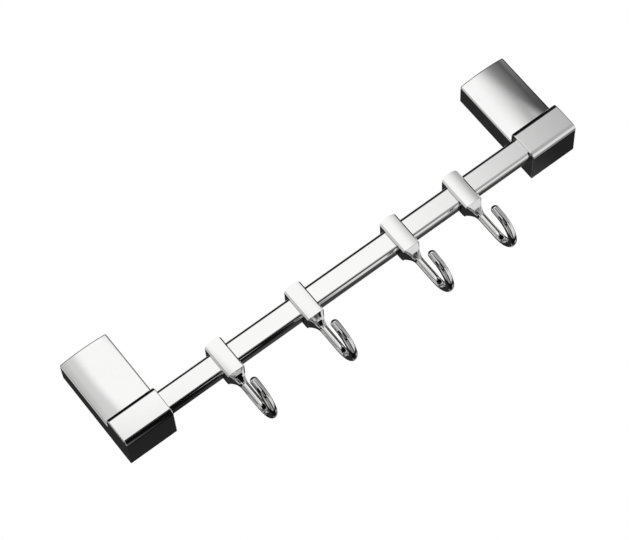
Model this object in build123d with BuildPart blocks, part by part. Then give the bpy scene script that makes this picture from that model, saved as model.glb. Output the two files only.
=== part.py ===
from build123d import *
from math import sqrt
import os

# Hook rail for a wall: a flat tube between two end brackets, with four hooks that slide along it.
# Frame: X runs along the tube, Y into the wall, Z up. The wall plane is y = 0.
# The origin is the middle of the four wall screws, on the wall plane.

# Overall sizes
overall_length = 400.0
bracket_width = 40.0
bracket_height = 83.5

# Socket block, the lower part of a bracket
socket_height = 25.0
socket_depth = 33.5
socket_edge_radius = 4.0
socket_side_radius = 0.8
socket_end_wall = 4.0
core_wall = 3.0
core_corner_radius = 2.0

# Wall flange and its rim, hidden by the cover
flange_thickness = 4.0
rim_height = 9.0
rim_thickness = 2.2
rim_corner_radius = 3.0

# Wall screws
screw_spacing = 28.0
screw_hole_radius = 2.3
screw_head_radius = 4.5
screw_head_angle = 90.0

# Cover, which snaps over the rim
cover_edge_depth = 20.0
cover_crown = 2.0
cover_side_radius = 1.5
cover_top_radius = 0.9
cover_wall = 1.8
cover_fit = 0.2
cover_seam = 0.2
bead_radius = 1.0
bead_reach = 0.5
bead_length = 16.0

# Tube
bar_height = 18.0
bar_thickness = 11.0
bar_corner_radius = 2.8
bar_wall = 1.2
bar_recess = 2.5
bar_fit = 0.15
bar_end_gap = 0.5

# Grub screw that holds the tube in its socket, reached from the back
grub_radius = 2.0
grub_length = 6.0
grub_fit = 0.05
grub_boss_radius = 4.5
grub_boss_height = 4.0
grub_key_width = 2.0
grub_key_depth = 2.4
grub_chamfer = 0.5

# Hook collar, the loop round the tube
collar_width = 14.0
collar_fit = 0.4
collar_front_wall = 2.6
collar_back_wall = 2.4
collar_top_wall = 3.4
collar_bottom_wall = 5.2
collar_crown = 0.5
collar_bevel = 1.2
collar_arch = 1.7
collar_back_radius = 4.0

# Hook neck, wire and tip
neck_length = 9.5
neck_sections = 3
neck_inset = 0.2
neck_back_inset = 2.5
wire_radius = 3.1
shank_length = 17.3
bend_radius = 16.2
tip_lean = 8.0
tip_length = 6.0

# Where the hooks stand, from the middle of the tube
first_hook_x = -107.8
second_hook_x = -38.4
third_hook_x = 46.9
fourth_hook_x = 103.3

# Levels and places worked out from the sizes
flange_inset = cover_wall + cover_fit
flange_width = bracket_width - 2 * flange_inset
flange_height = bracket_height - socket_height - flange_inset
socket_top = -flange_height / 2
bracket_x = (overall_length - bracket_width) / 2
inner_x = bracket_x - bracket_width / 2
bar_z = socket_top - socket_height / 2
bar_y = -socket_depth + bar_recess + bar_thickness / 2
bar_back = bar_y + bar_thickness / 2
bar_length = overall_length - 2 * (socket_end_wall + bar_end_gap)
core_depth = -bar_back - bar_fit - core_wall
cover_bottom = socket_top + cover_seam
cover_height = bracket_height - socket_height - cover_seam
bead_x = bracket_width / 2 - cover_wall + bead_radius - bead_reach
bead_y = -(flange_thickness + rim_height) / 2

os.makedirs("parts", exist_ok=True)


def crowned_outline(width, back, front, crown):
    """The plan outline of a crowned piece: square at the back, bowed out at the front."""
    with BuildLine() as outline:
        Polyline((-width / 2, front), (-width / 2, back), (width / 2, back), (width / 2, front))
        ThreePointArc((width / 2, front), (0, front - crown), (-width / 2, front))
    return outline.line


def front_corners(sketch):
    """The two outer corners at the front of a crowned outline."""
    return sketch.vertices().group_by(Axis.Y)[0]


# Left bracket: one die casting with the socket block, the wall flange and its rim
with BuildPart() as left_bracket:
    with BuildSketch(Plane.YZ.offset(-bracket_x)):
        with Locations((-socket_depth / 2, bar_z)):
            Rectangle(socket_depth, socket_height)
    extrude(amount=bracket_width / 2, both=True)
    fillet(left_bracket.edges().filter_by(Axis.X).group_by(Axis.Y)[0], socket_edge_radius)
    ends = left_bracket.faces().filter_by(Axis.X)
    fillet(ends.edges().group_by(Axis.Y)[:-1], socket_side_radius)

    with BuildSketch(Plane.XZ):
        with Locations((-bracket_x, 0)):
            Rectangle(flange_width, flange_height)
    extrude(amount=rim_height)
    with BuildSketch(Plane.XZ.offset(flange_thickness)):
        with Locations((-bracket_x, 0)):
            RectangleRounded(
                flange_width - 2 * rim_thickness,
                flange_height - 2 * rim_thickness,
                rim_corner_radius,
            )
    extrude(amount=rim_height - flange_thickness, mode=Mode.SUBTRACT)
    for side in (-1, 1):
        with Locations((-bracket_x + side * bead_x, bead_y, 0)):
            Cylinder(bead_radius + cover_fit, bead_length + 2 * cover_fit, mode=Mode.SUBTRACT)
    with Locations(Plane((-bracket_x, -flange_thickness, 0), x_dir=(1, 0, 0), z_dir=(0, -1, 0))):
        with GridLocations(0, screw_spacing, 1, 2):
            CounterSinkHole(
                screw_hole_radius,
                screw_head_radius,
                flange_thickness,
                screw_head_angle,
            )

    with BuildSketch(Plane.XZ):
        with Locations((-bracket_x, bar_z)):
            RectangleRounded(
                bracket_width - 2 * core_wall,
                socket_height - 2 * core_wall,
                core_corner_radius,
            )
            Circle(grub_boss_radius, mode=Mode.SUBTRACT)
    extrude(amount=core_depth, mode=Mode.SUBTRACT)
    with BuildSketch(Plane.XZ):
        with Locations((-bracket_x, bar_z)):
            Circle(grub_boss_radius)
    extrude(amount=core_depth - grub_boss_height, mode=Mode.SUBTRACT)
    with BuildSketch(Plane.XZ):
        with Locations((-bracket_x, bar_z)):
            Circle(grub_radius + grub_fit)
    extrude(amount=-bar_y, mode=Mode.SUBTRACT)

    with BuildSketch(Plane.YZ.offset(-inner_x)):
        with Locations((bar_y, bar_z)):
            RectangleRounded(
                bar_thickness + 2 * bar_fit,
                bar_height + 2 * bar_fit,
                bar_corner_radius + bar_fit,
            )
    extrude(amount=-bracket_width + socket_end_wall, mode=Mode.SUBTRACT)

# Left cover: a crowned cap, open at the back, that hides the flange and its screws
with BuildPart() as left_cover:
    with BuildSketch(Plane((-bracket_x, 0, cover_bottom))) as outside:
        make_face(crowned_outline(bracket_width, 0, -cover_edge_depth, cover_crown))
        fillet(front_corners(outside), cover_side_radius)
    extrude(amount=cover_height)
    top = left_cover.faces().sort_by(Axis.Z)[-1]
    fillet(top.edges().group_by(Axis.Y)[:-1], cover_top_radius)
    with BuildSketch(Plane((-bracket_x, 0, cover_bottom + cover_wall))):
        make_face(
            crowned_outline(
                bracket_width - 2 * cover_wall, 0, cover_wall - cover_edge_depth, cover_crown
            )
        )
    extrude(amount=cover_height - 2 * cover_wall, mode=Mode.SUBTRACT)
    with BuildSketch(Plane((-bracket_x, -(rim_height + cover_fit) / 2, cover_bottom))):
        Rectangle(flange_width + 2 * cover_fit, rim_height + cover_fit)
    extrude(amount=cover_wall, mode=Mode.SUBTRACT)
    for side in (-1, 1):
        with Locations((-bracket_x + side * bead_x, bead_y, 0)):
            Cylinder(bead_radius, bead_length)

# Tube: a rounded flat section, open at both ends inside the sockets
with BuildPart() as bar:
    with BuildSketch(Plane.YZ):
        with Locations((bar_y, bar_z)):
            RectangleRounded(bar_thickness, bar_height, bar_corner_radius)
            RectangleRounded(
                bar_thickness - 2 * bar_wall,
                bar_height - 2 * bar_wall,
                bar_corner_radius - bar_wall,
                mode=Mode.SUBTRACT,
            )
    extrude(amount=bar_length / 2, both=True)

# Left grub screw: its point stands on the back of the tube
with BuildPart() as left_grub_screw:
    with BuildSketch(Plane.XZ.offset(-bar_back - grub_length)):
        with Locations((-bracket_x, bar_z)):
            Circle(grub_radius)
    extrude(amount=grub_length)
    chamfer(left_grub_screw.edges().filter_by(GeomType.CIRCLE), grub_chamfer)
    with BuildSketch(Plane.XZ.offset(-bar_back - grub_length)):
        with Locations((-bracket_x, bar_z)):
            RegularPolygon(grub_key_width / 2, 6, major_radius=False)
    extrude(amount=grub_key_depth, mode=Mode.SUBTRACT)

# The right end is the left end's mirror image
with BuildPart() as right_bracket:
    mirror(left_bracket.part, about=Plane.YZ)

with BuildPart() as right_cover:
    mirror(left_cover.part, about=Plane.YZ)

with BuildPart() as right_grub_screw:
    mirror(left_grub_screw.part, about=Plane.YZ)

# Hook sizes worked out from the tube and the collar's walls
collar_front = -socket_depth + bar_recess - collar_fit - collar_front_wall
collar_back = bar_back + collar_fit + collar_back_wall
collar_bottom = bar_z - bar_height / 2 - collar_fit - collar_bottom_wall
collar_top = bar_z + bar_height / 2 + collar_fit + collar_top_wall
neck_front = collar_front + neck_inset
neck_back = collar_back - neck_back_inset
neck_depth = neck_back - neck_front
neck_y = (neck_front + neck_back) / 2
neck_rise = collar_back_radius - sqrt(collar_back_radius**2 - (collar_back_radius - neck_back_inset) ** 2)
neck_top = collar_bottom + neck_rise
shank_top = collar_bottom - neck_length
bend_z = shank_top - shank_length


def neck_section(share):
    """Size, place and corner radius of the neck at a share of its length, coved in to the wire."""
    cove = (1 - share) ** 2
    width = 2 * wire_radius + (collar_width - 2 * neck_inset - 2 * wire_radius) * cove
    depth = 2 * wire_radius + (neck_depth - 2 * wire_radius) * cove
    middle = bar_y + (neck_y - bar_y) * cove
    corner = collar_bevel + (wire_radius - collar_bevel) * share
    return width, depth, middle, corner


# Hooks: each is one casting, with a collar round the tube, a neck and a bent wire
for number, place in enumerate((first_hook_x, second_hook_x, third_hook_x, fourth_hook_x), start=1):
    with BuildPart() as hook:
        with BuildSketch(Plane((place, 0, collar_bottom))) as plan:
            make_face(crowned_outline(collar_width, collar_back, collar_front, collar_crown))
            chamfer(front_corners(plan), collar_bevel)
        extrude(amount=collar_top + collar_arch - collar_bottom)
        with BuildSketch(Plane((place, 0, 0), x_dir=(1, 0, 0), z_dir=(0, -1, 0))):
            with BuildLine():
                Polyline(
                    (-collar_width / 2, collar_top),
                    (-collar_width / 2, collar_bottom),
                    (collar_width / 2, collar_bottom),
                    (collar_width / 2, collar_top),
                )
                ThreePointArc(
                    (collar_width / 2, collar_top),
                    (0, collar_top + collar_arch),
                    (-collar_width / 2, collar_top),
                )
            make_face()
        extrude(amount=socket_depth + cover_edge_depth, mode=Mode.INTERSECT)
        back = hook.faces().sort_by(Axis.Y)[-1]
        fillet(back.edges().filter_by(Axis.Z, reverse=True), collar_back_radius)

        for step in range(neck_sections):
            share = step / neck_sections
            width, depth, middle, corner = neck_section(share)
            with BuildSketch(Plane((place, middle, neck_top + (shank_top - neck_top) * share))):
                RectangleRounded(width, depth, corner)
        with BuildSketch(Plane((place, bar_y, shank_top))):
            Circle(wire_radius)
        loft()

        with BuildLine(Plane.YZ.offset(place)) as wire:
            shank = Line((bar_y, shank_top), (bar_y, bend_z))
            bend = CenterArc((bar_y - bend_radius, bend_z), bend_radius, 0, tip_lean - 180)
            Line(bend @ 1, bend @ 1 + (bend % 1) * tip_length)
        with BuildSketch(Plane(shank @ 0, z_dir=shank % 0)):
            Circle(wire_radius)
        sweep()
        with Locations(wire.line @ 1):
            Sphere(wire_radius)

        with BuildSketch(Plane.YZ.offset(place)):
            with Locations((bar_y, bar_z)):
                RectangleRounded(
                    bar_thickness + 2 * collar_fit,
                    bar_height + 2 * collar_fit,
                    bar_corner_radius + collar_fit,
                )
        extrude(amount=collar_width, both=True, mode=Mode.SUBTRACT)
    hook.part.label = f"hook_{number}"
    export_step(hook.part, f"parts/hook_{number}.step")

left_bracket.part.label = "left_bracket"
right_bracket.part.label = "right_bracket"
left_cover.part.label = "left_cover"
right_cover.part.label = "right_cover"
bar.part.label = "bar"
left_grub_screw.part.label = "left_grub_screw"
right_grub_screw.part.label = "right_grub_screw"

export_step(left_bracket.part, "parts/left_bracket.step")
export_step(right_bracket.part, "parts/right_bracket.step")
export_step(left_cover.part, "parts/left_cover.step")
export_step(right_cover.part, "parts/right_cover.step")
export_step(bar.part, "parts/bar.step")
export_step(left_grub_screw.part, "parts/left_grub_screw.step")
export_step(right_grub_screw.part, "parts/right_grub_screw.step")
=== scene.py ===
import math

import bpy
from mathutils import Euler, Matrix

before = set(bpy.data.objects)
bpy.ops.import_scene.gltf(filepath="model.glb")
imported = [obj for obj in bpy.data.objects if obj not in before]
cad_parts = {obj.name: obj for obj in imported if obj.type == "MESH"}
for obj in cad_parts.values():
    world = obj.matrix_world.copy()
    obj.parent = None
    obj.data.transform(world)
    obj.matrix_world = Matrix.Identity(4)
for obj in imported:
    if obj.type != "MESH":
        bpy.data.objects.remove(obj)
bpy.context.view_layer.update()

# Camera, at the photograph's viewing angle
CAMERA_PLACE = (-0.4567, -1.6839, -0.6911)
CAMERA_TURN = (117.138, 37.407, 2.409)
CAMERA_LENS = 148.8
CAMERA_SENSOR = 36.0
CAMERA_REACH = 50.0

# Studio
FLOOR_DROP = 1.4
FLOOR_WIDTH = 12.0
FLOOR_COLOUR = (0.82, 0.82, 0.82, 1.0)
FLOOR_ROUGHNESS = 0.8
# The room's own light: how much of it the metal mirrors, and how much falls on everything
ROOM_TONE = 0.004
FILL_TONE = 0.9
# Each wall of soft lights: its turn, the axis it faces along and its place on that axis
STUDIO_WALLS = {
    "front": ((90, 0, 0), 1, -0.8),
    "back": ((90, 0, 0), 1, 0.8),
    "left": ((90, 0, 90), 0, -0.8),
    "right": ((90, 0, 90), 0, 0.8),
    "below": ((0, 0, 0), 2, -0.8),
    "above": ((0, 0, 0), 2, 0.8),
}
# Each sheet hangs this much nearer than the one before it on the same wall
SHEET_GAP = 0.004

# Plating
CHROME_COLOUR = (0.87, 0.87, 0.867, 1.0)
SCREW_COLOUR = (0.25, 0.25, 0.26, 1.0)
HAZE_SCALE = 25.0
HAZE_DETAIL = 4.0
HAZE_LIMITS = (0.35, 0.7)
HAZE_DIMMING = 0.025
WAVE_DETAIL = 1.0
WAVE_HEIGHT = 0.00002
POLISHING_LINES = 1400.0
POLISHING_DETAIL = 2.0

# Mould's grain on the backs of the castings, within this depth of the wall
BACK_DEPTH = 0.0006
CAST_GRAIN = 1800.0
CAST_GRAIN_DETAIL = 3.0
CAST_GRAIN_HEIGHT = 1.5
CAST_ROUGHNESS = (0.34, 0.5)
CAST_TONE_LIMITS = (0.3, 0.7)
CAST_DARK = (0.36, 0.36, 0.355, 1.0)
CAST_LIGHT = (0.5, 0.5, 0.495, 1.0)

# The Mix node's places of its factor, first input, second input and result, for each kind of data
MIX_SOCKETS = {"FLOAT": (0, 2, 3, 0), "RGBA": (0, 6, 7, 2)}


def deselect_all():
    if bpy.context.object and bpy.context.object.mode != "OBJECT":
        bpy.ops.object.mode_set(mode="OBJECT")
    bpy.ops.object.select_all(action="DESELECT")


def new_material(name):
    """A material with its nodes, its links and its shader."""
    material = bpy.data.materials.new(name)
    material.use_nodes = True
    nodes = material.node_tree.nodes
    return material, nodes, material.node_tree.links, nodes["Principled BSDF"]


def plating_group():
    """Plating's fine unevenness: haze in colour and roughness, polishing lines and long waves."""
    tree = bpy.data.node_groups.new("plating_unevenness", "ShaderNodeTree")
    interface = tree.interface
    interface.new_socket(name="Colour", in_out="INPUT", socket_type="NodeSocketColor")
    for socket in ("Wave Scale", "Haze Scale", "Roughness", "Haze", "Line Depth"):
        interface.new_socket(name=socket, in_out="INPUT", socket_type="NodeSocketFloat")
    interface.new_socket(name="Stretch", in_out="INPUT", socket_type="NodeSocketVector")
    interface.new_socket(name="Colour", in_out="OUTPUT", socket_type="NodeSocketColor")
    for socket in ("Roughness", "Height"):
        interface.new_socket(name=socket, in_out="OUTPUT", socket_type="NodeSocketFloat")
    nodes, links = tree.nodes, tree.links
    inputs = nodes.new("NodeGroupInput")
    outputs = nodes.new("NodeGroupOutput")
    place = nodes.new("ShaderNodeTexCoord")
    stretched = nodes.new("ShaderNodeVectorMath")
    stretched.operation = "MULTIPLY"
    links.new(place.outputs["Object"], stretched.inputs[0])
    links.new(inputs.outputs["Stretch"], stretched.inputs[1])

    waves = nodes.new("ShaderNodeTexNoise")
    waves.inputs["Detail"].default_value = WAVE_DETAIL
    links.new(stretched.outputs[0], waves.inputs["Vector"])
    links.new(inputs.outputs["Wave Scale"], waves.inputs["Scale"])
    lines = nodes.new("ShaderNodeTexNoise")
    lines.inputs["Scale"].default_value = POLISHING_LINES
    lines.inputs["Detail"].default_value = POLISHING_DETAIL
    links.new(stretched.outputs[0], lines.inputs["Vector"])
    height = nodes.new("ShaderNodeMath")
    height.operation = "MULTIPLY_ADD"
    links.new(lines.outputs["Fac"], height.inputs[0])
    links.new(inputs.outputs["Line Depth"], height.inputs[1])
    links.new(waves.outputs["Fac"], height.inputs[2])
    links.new(height.outputs[0], outputs.inputs["Height"])

    haze = nodes.new("ShaderNodeTexNoise")
    haze.inputs["Detail"].default_value = HAZE_DETAIL
    links.new(stretched.outputs[0], haze.inputs["Vector"])
    links.new(inputs.outputs["Haze Scale"], haze.inputs["Scale"])
    share = nodes.new("ShaderNodeMapRange")
    share.inputs["From Min"].default_value, share.inputs["From Max"].default_value = HAZE_LIMITS
    links.new(haze.outputs["Fac"], share.inputs["Value"])
    roughness = nodes.new("ShaderNodeMath")
    roughness.operation = "MULTIPLY_ADD"
    links.new(share.outputs["Result"], roughness.inputs[0])
    links.new(inputs.outputs["Haze"], roughness.inputs[1])
    links.new(inputs.outputs["Roughness"], roughness.inputs[2])
    links.new(roughness.outputs[0], outputs.inputs["Roughness"])

    dimmed = nodes.new("ShaderNodeMath")
    dimmed.operation = "MULTIPLY_ADD"
    dimmed.inputs[1].default_value = -HAZE_DIMMING
    dimmed.inputs[2].default_value = 1.0
    links.new(share.outputs["Result"], dimmed.inputs[0])
    tinted = nodes.new("ShaderNodeVectorMath")
    tinted.operation = "SCALE"
    links.new(inputs.outputs["Colour"], tinted.inputs[0])
    links.new(dimmed.outputs[0], tinted.inputs["Scale"])
    links.new(tinted.outputs[0], outputs.inputs["Colour"])
    return tree


def plated_metal(
    name, colour, roughness, haze, wave_scale, lines=0.0, stretch=(1, 1, 1), cast_back=False
):
    """Plating on cast or drawn metal. A cast back, flat on the wall, keeps the mould's grain."""
    material, nodes, links, shader = new_material(name)
    shader.inputs["Metallic"].default_value = 1.0
    uneven = nodes.new("ShaderNodeGroup")
    uneven.node_tree = PLATING
    for socket, value in (
        ("Colour", colour),
        ("Wave Scale", wave_scale),
        ("Haze Scale", HAZE_SCALE),
        ("Roughness", roughness),
        ("Haze", haze),
        ("Line Depth", lines),
        ("Stretch", stretch),
    ):
        uneven.inputs[socket].default_value = value
    surface = [uneven.outputs[part] for part in ("Colour", "Roughness", "Height")]
    if cast_back:
        surface = dulled_back(nodes, links, *surface)
    colour_out, roughness_out, height_out = surface
    links.new(colour_out, shader.inputs["Base Color"])
    links.new(roughness_out, shader.inputs["Roughness"])
    bump = nodes.new("ShaderNodeBump")
    bump.inputs["Distance"].default_value = WAVE_HEIGHT
    links.new(height_out, bump.inputs["Height"])
    links.new(bump.outputs["Normal"], shader.inputs["Normal"])
    return material


def dulled_back(nodes, links, colour, roughness, height):
    """The plating's colour, roughness and height, with the mould's grain on the wall side."""
    place = nodes.new("ShaderNodeTexCoord")
    split = nodes.new("ShaderNodeSeparateXYZ")
    links.new(place.outputs["Object"], split.inputs[0])
    on_wall = nodes.new("ShaderNodeMapRange")
    on_wall.inputs["From Min"].default_value = -BACK_DEPTH
    on_wall.inputs["From Max"].default_value = -BACK_DEPTH / 2
    links.new(split.outputs["Y"], on_wall.inputs["Value"])
    grain = nodes.new("ShaderNodeTexNoise")
    grain.inputs["Scale"].default_value = CAST_GRAIN
    grain.inputs["Detail"].default_value = CAST_GRAIN_DETAIL
    links.new(place.outputs["Object"], grain.inputs["Vector"])
    grain_tone = nodes.new("ShaderNodeValToRGB")
    for stop, limit, tone in zip(
        grain_tone.color_ramp.elements, CAST_TONE_LIMITS, (CAST_DARK, CAST_LIGHT)
    ):
        stop.position = limit
        stop.color = tone
    links.new(grain.outputs["Fac"], grain_tone.inputs["Fac"])
    grain_roughness = nodes.new("ShaderNodeMapRange")
    rough_low, rough_high = CAST_ROUGHNESS
    grain_roughness.inputs["To Min"].default_value = rough_low
    grain_roughness.inputs["To Max"].default_value = rough_high
    links.new(grain.outputs["Fac"], grain_roughness.inputs["Value"])
    grain_height = nodes.new("ShaderNodeMath")
    grain_height.operation = "MULTIPLY"
    grain_height.inputs[1].default_value = CAST_GRAIN_HEIGHT
    links.new(grain.outputs["Fac"], grain_height.inputs[0])
    mixed = []
    for kind, smooth, cast in (
        ("RGBA", colour, grain_tone.outputs["Color"]),
        ("FLOAT", roughness, grain_roughness.outputs["Result"]),
        ("FLOAT", height, grain_height.outputs[0]),
    ):
        mix = nodes.new("ShaderNodeMix")
        mix.data_type = kind
        factor, first, second, result = MIX_SOCKETS[kind]
        links.new(on_wall.outputs["Result"], mix.inputs[factor])
        links.new(smooth, mix.inputs[first])
        links.new(cast, mix.inputs[second])
        mixed.append(mix.outputs[result])
    return mixed


PLATING = plating_group()
BRACKET_CHROME = plated_metal(
    "bracket_chrome",
    CHROME_COLOUR,
    roughness=0.04,
    haze=0.03,
    wave_scale=90.0,
    lines=0.04,
    cast_back=True,
)
TUBE_CHROME = plated_metal(
    "tube_chrome",
    CHROME_COLOUR,
    roughness=0.04,
    haze=0.03,
    wave_scale=90.0,
    lines=0.06,
    stretch=(0.15, 1, 1),
)
HOOK_CHROME = plated_metal(
    "hook_chrome", CHROME_COLOUR, roughness=0.03, haze=0.02, wave_scale=120.0, lines=0.02
)
SCREW_STEEL = plated_metal("screw_steel", SCREW_COLOUR, roughness=0.3, haze=0.1, wave_scale=200.0)

FINISHES = {
    "bracket": BRACKET_CHROME,
    "cover": BRACKET_CHROME,
    "bar": TUBE_CHROME,
    "hook": HOOK_CHROME,
    "grub_screw": SCREW_STEEL,
}


def finish_for(node):
    """The finish whose word the node's name holds."""
    return next(finish for word, finish in FINISHES.items() if word in node)


for node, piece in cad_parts.items():
    piece.data.materials.clear()
    piece.data.materials.append(finish_for(node))


sheets_hung = dict.fromkeys(STUDIO_WALLS, 0)


def soft_light(name, wall, centre, size, turn, fades, strength):
    """A lit sheet in front of those on its wall. Centre and size are across the wall, in metres,
    the turn is in degrees, and the fades are at the left, right, lower and upper sides."""
    wall_turn, facing_axis, distance = STUDIO_WALLS[wall]
    distance -= math.copysign(SHEET_GAP * sheets_hung[wall], distance)
    sheets_hung[wall] += 1
    middle = list(centre)
    middle.insert(facing_axis, distance)
    facing = Euler([math.radians(angle) for angle in wall_turn]).to_matrix()
    hang = facing @ Matrix.Rotation(math.radians(turn), 3, "Z")
    deselect_all()
    bpy.ops.mesh.primitive_plane_add(size=1, location=middle, rotation=hang.to_euler())
    sheet = bpy.context.object
    sheet.name = name
    width, height = size
    sheet.scale = (width, height, 1)
    sheet.visible_camera = False
    sheet.visible_diffuse = False
    sheet.visible_shadow = False
    material, nodes, links, shader = new_material(name)
    nodes.remove(shader)
    place = nodes.new("ShaderNodeTexCoord")
    split = nodes.new("ShaderNodeSeparateXYZ")
    links.new(place.outputs["Object"], split.inputs[0])
    share = None
    left, right, lower, upper = fades
    for axis, side, length, fade in (
        ("X", -0.5, width, left),
        ("X", 0.5, width, right),
        ("Y", -0.5, height, lower),
        ("Y", 0.5, height, upper),
    ):
        ramp = nodes.new("ShaderNodeMapRange")
        ramp.interpolation_type = "SMOOTHSTEP"
        ramp.inputs["From Min"].default_value = side
        ramp.inputs["From Max"].default_value = side - math.copysign(fade / length, side)
        links.new(split.outputs[axis], ramp.inputs["Value"])
        if share is None:
            share = ramp.outputs["Result"]
            continue
        both = nodes.new("ShaderNodeMath")
        both.operation = "MULTIPLY"
        links.new(share, both.inputs[0])
        links.new(ramp.outputs["Result"], both.inputs[1])
        share = both.outputs[0]
    glow = nodes.new("ShaderNodeEmission")
    glow.inputs["Strength"].default_value = strength
    clear = nodes.new("ShaderNodeBsdfTransparent")
    mix = nodes.new("ShaderNodeMixShader")
    links.new(share, mix.inputs[0])
    links.new(clear.outputs[0], mix.inputs[1])
    links.new(glow.outputs[0], mix.inputs[2])
    links.new(mix.outputs[0], nodes["Material Output"].inputs["Surface"])
    sheet.data.materials.append(material)


def studio():
    deselect_all()
    bpy.ops.mesh.primitive_plane_add(size=FLOOR_WIDTH, location=(0, 0, -FLOOR_DROP))
    floor = bpy.context.object
    floor.name = "floor"
    material, _, _, shader = new_material("pale_floor")
    shader.inputs["Base Color"].default_value = FLOOR_COLOUR
    shader.inputs["Roughness"].default_value = FLOOR_ROUGHNESS
    floor.data.materials.append(material)
    floor.visible_glossy = False

    world = bpy.data.worlds.new("studio")
    bpy.context.scene.world = world
    world.use_nodes = True
    nodes, links = world.node_tree.nodes, world.node_tree.links
    backdrop = nodes["Background"]
    path = nodes.new("ShaderNodeLightPath")
    reflected = nodes.new("ShaderNodeMix")
    reflected.data_type = "FLOAT"
    reflected.inputs["A"].default_value = FILL_TONE
    reflected.inputs["B"].default_value = ROOM_TONE
    links.new(path.outputs["Is Glossy Ray"], reflected.inputs["Factor"])
    seen = nodes.new("ShaderNodeMath")
    seen.operation = "MAXIMUM"
    links.new(path.outputs["Is Camera Ray"], seen.inputs[0])
    links.new(reflected.outputs["Result"], seen.inputs[1])
    backdrop.inputs["Color"].default_value = (1, 1, 1, 1)
    links.new(seen.outputs[0], backdrop.inputs["Strength"])

    # Behind the rail
    soft_light("wall_tone", "back", (0, 0), (1.6, 1.6), 0, (0.02, 0.02, 0.7, 0.02), 0.025)
    soft_light(
        "back_right_card", "back", (0.25, -0.2), (0.5, 0.45), 0, (0.08, 0.08, 0.3, 0.06), 0.4
    )
    soft_light(
        "back_middle_card", "back", (-0.16, -0.27), (0.3, 0.12), 0, (0.08, 0.05, 0.04, 0.04), 0.35
    )
    soft_light(
        "back_low_card", "back", (0.45, -0.62), (0.56, 0.42), 0, (0.28, 0.22, 0.12, 0.15), 0.65
    )
    soft_light(
        "back_high_right_card", "back", (0.4, 0.38), (0.7, 0.45), 0, (0.1, 0.1, 0.1, 0.1), 0.45
    )
    soft_light(
        "back_high_left_card", "back", (-0.64, 0.4), (0.3, 0.3), 0, (0.05, 0.05, 0.05, 0.05), 0.4
    )
    # In front of it
    soft_light(
        "low_left_sheet", "front", (-0.48, -0.38), (0.64, 0.84), 0, (0.05, 0.16, 0.1, 0.15), 0.2
    )
    soft_light("middle_sheet", "front", (0.17, -0.02), (0.42, 0.3), 0, (0.1, 0.08, 0.12, 0.1), 0.17)
    soft_light("left_window", "front", (-0.5, 0.62), (0.6, 0.4), -24, (0.05, 0.1, 0.15, 0.05), 0.58)
    soft_light("left_sheet", "front", (-0.5, 0.36), (0.6, 0.5), 0, (0.05, 0.1, 0.12, 0.1), 0.5)
    soft_light("key_light", "front", (0.2, 0.36), (1.16, 0.72), -20, (0.3, 0.53, 0.2, 0.2), 1.08)
    soft_light("key_spill", "front", (0.38, 0.5), (1.25, 0.32), -15, (0.1, 0.44, 0.15, 0.08), 0.2)
    soft_light("flag", "front", (0.62, 0.62), (0.36, 0.42), 0, (0.08, 0.05, 0.1, 0.05), 0.03)
    soft_light("key_edge", "front", (0.65, 0.27), (0.34, 0.13), 0, (0.16, 0.04, 0.04, 0.05), 0.62)
    soft_light(
        "strip_light", "front", (0.14, -0.005), (0.56, 0.06), 0, (0.15, 0.1, 0.02, 0.02), 0.65
    )
    soft_light("reflector", "front", (-0.41, 0.0), (0.6, 0.58), 8, (0.08, 0.12, 0.05, 0.06), 0.75)
    soft_light(
        "low_right_sheet", "front", (0.59, -0.45), (0.74, 1.3), 19, (0.28, 0.07, 0.48, 0.04), 0.46
    )
    # To its left and right
    soft_light("left_band", "left", (-0.03, 0.44), (1.2, 0.72), -7, (0.15, 0.08, 0.2, 0.06), 0.66)
    soft_light("left_strip", "left", (-0.42, 0.06), (0.76, 0.08), 6, (0.02, 0.1, 0.02, 0.02), 0.45)
    soft_light(
        "low_left_card", "left", (0.04, -0.41), (0.88, 0.68), 5, (0.3, 0.25, 0.05, 0.25), 0.5
    )
    soft_light(
        "left_front_card", "left", (-0.5, -0.33), (0.5, 0.26), 0, (0.1, 0.1, 0.06, 0.06), 0.35
    )
    soft_light(
        "right_band", "right", (-0.46, 0.43), (0.72, 0.32), -4, (0.24, 0.15, 0.22, 0.06), 0.76
    )
    soft_light(
        "right_glow", "right", (-0.15, -0.07), (1.15, 0.55), 3, (0.06, 0.06, 0.05, 0.17), 0.38
    )
    soft_light(
        "low_right_card", "right", (0.19, -0.4), (0.95, 0.82), 11, (0.06, 0.35, 0.11, 0.3), 0.8
    )
    soft_light(
        "right_front_card", "right", (-0.5, -0.33), (0.5, 0.26), 0, (0.1, 0.1, 0.06, 0.06), 0.35
    )
    # Below and above it
    soft_light(
        "floor_sheet", "below", (0.485, -0.23), (0.71, 1.4), 3, (0.08, 0.07, 0.09, 0.35), 0.8
    )
    soft_light(
        "floor_glow", "below", (-0.38, -0.15), (0.66, 1.1), -5, (0.03, 0.15, 0.13, 0.08), 0.3
    )
    soft_light(
        "floor_card", "below", (0.052, -0.42), (0.08, 0.28), 0, (0.015, 0.015, 0.04, 0.04), 0.5
    )
    soft_light("ceiling_sheet", "above", (0, 0.5), (1.5, 0.55), 0, (0.15, 0.15, 0.15, 0.1), 0.5)


def camera():
    bpy.ops.object.camera_add(location=CAMERA_PLACE)
    view = bpy.context.object
    view.name = "camera"
    view.rotation_euler = [math.radians(turn) for turn in CAMERA_TURN]
    view.data.lens = CAMERA_LENS
    view.data.sensor_width = CAMERA_SENSOR
    view.data.clip_end = CAMERA_REACH
    bpy.context.scene.camera = view


studio()
camera()
bpy.context.scene.view_settings.view_transform = "Standard"
